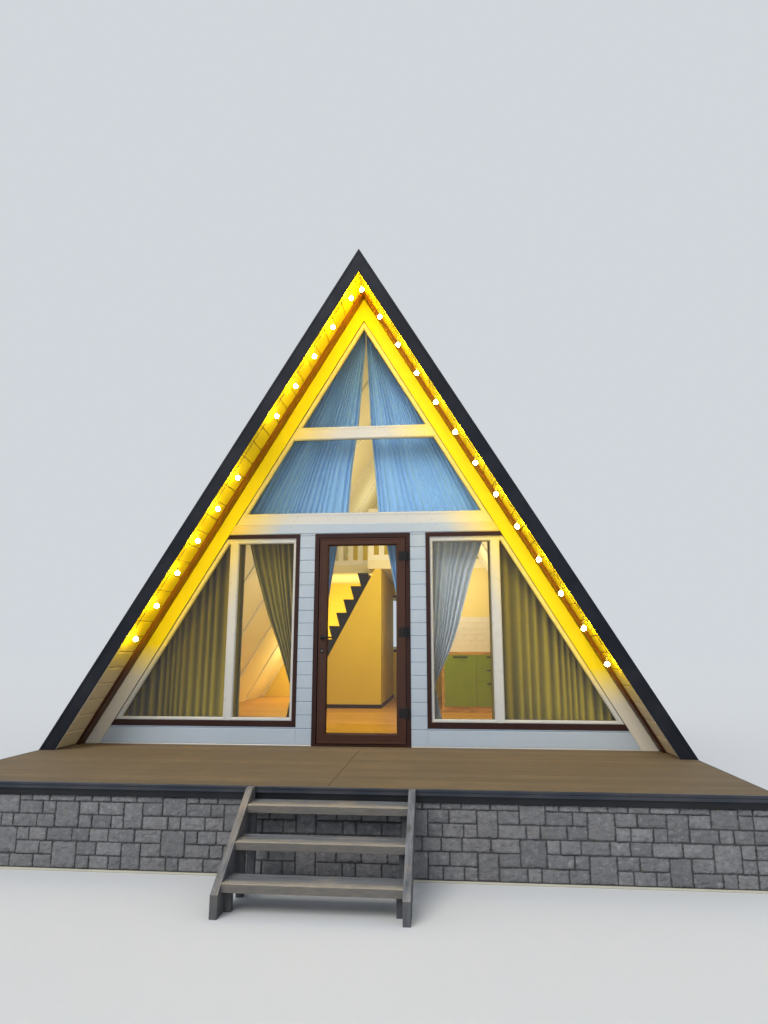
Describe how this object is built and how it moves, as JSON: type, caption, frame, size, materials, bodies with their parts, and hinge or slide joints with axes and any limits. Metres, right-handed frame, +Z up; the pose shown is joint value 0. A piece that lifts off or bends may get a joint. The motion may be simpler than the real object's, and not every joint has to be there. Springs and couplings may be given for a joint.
{
  "type": "a-frame cabin",
  "caption": "Small triangular timber cabin on a raised terrace, with a glazed front gable, an outward opening glass door, steps and a string of bulbs under the roof edge.",
  "frame": {"origin": "on the ground, at the middle of the plan of roof, platform and steps", "axes": "+Z up, -Y out of the glazed front gable towards the steps, +X to the right of someone who faces the door"},
  "size_m": [6.1, 10.44, 5.7659],
  "materials": {
    "stone_panel": "stone-look panel, matt",
    "dark_trim": "dark grey coated metal, satin",
    "deck_board": "brown ribbed terrace boards, matt",
    "floor_board": "warm laminate boards, satin",
    "weathered_timber": "grey weathered softwood, rough",
    "roof_structure": "boarded rafters, plain",
    "roof_metal": "charcoal standing-seam sheet, satin",
    "cream_boards": "cream soffit boards, satin",
    "ceiling_boards": "white painted boards, satin",
    "white_siding": "white painted boards, satin",
    "white_frame": "white window profile, gloss",
    "brown_trim": "dark red-brown coated trim, satin",
    "door_brown": "brown coated door profile, satin",
    "clear_glass": "clear sealed unit",
    "black_iron": "black coated fittings, satin",
    "plaster": "warm painted plasterboard, matt",
    "stair_black": "black coated stair, satin",
    "railing_white": "white painted boards, satin",
    "kitchen_green": "green cabinet fronts, satin",
    "curtain_pale": "pale blue-grey sheer",
    "curtain_olive": "olive-beige curtain",
    "rail_white": "white curtain rail, satin",
    "black_cable": "black cable and sockets, matt",
    "lit_bulb": "warm lit frosted bulb"
  },
  "bodies": {
    "cabin": {"plinth_front": "stone_panel", "plinth_back": "stone_panel", "plinth_sides": "stone_panel", "platform_rim": "dark_trim", "deck_joists": "roof_structure", "deck_boards": "deck_board", "house_floor": "floor_board", "step_stringers": "weathered_timber", "step_treads": "weathered_timber", "step_legs": "weathered_timber", "roofing_left": "roof_metal", "roofing_right": "roof_metal", "roof_left": "roof_structure", "roof_right": "roof_structure", "barge_boards": "dark_trim", "soffits": "cream_boards", "ceilings": "ceiling_boards", "ridge_cap": "roof_metal", "roof_seams_left": "roof_metal", "roof_seams_right": "roof_metal", "front_piers": "white_siding", "front_band": "white_siding", "front_sills": "white_siding", "front_rake_left": "white_siding", "front_rake_right": "white_siding", "rake_trims": "brown_trim", "gable_window_frame": "white_frame", "side_window_frames": "white_frame", "back_window_frames": "white_frame", "window_casings": "brown_trim", "gable_glass": "clear_glass", "window_glass": "clear_glass", "back_wall": "white_siding", "door_frame": "brown_trim", "hinge_pins": "black_iron", "partition": "plaster", "stair": "stair_black", "loft_floor": "ceiling_boards", "loft_railing": "railing_white", "kitchen_wall": "plaster", "kitchen_units": "kitchen_green", "curtain_rails": "rail_white", "gable_curtains": "curtain_pale", "side_curtains": "curtain_olive", "door_curtains": "curtain_pale", "light_cable": "black_cable", "light_bulbs": "lit_bulb"},
    "door": {"door_leaf": "door_brown", "door_glass": "clear_glass", "door_handles": "black_iron", "door_hinges": "black_iron"}
  },
  "joints": [
    {"name": "door_hinge", "type": "hinge", "parent": "cabin", "child": "door", "pos_m": [0.462, -2.51, 1.7], "axis": [0, 0, 1], "range_deg": [0, 105]}
  ]
}
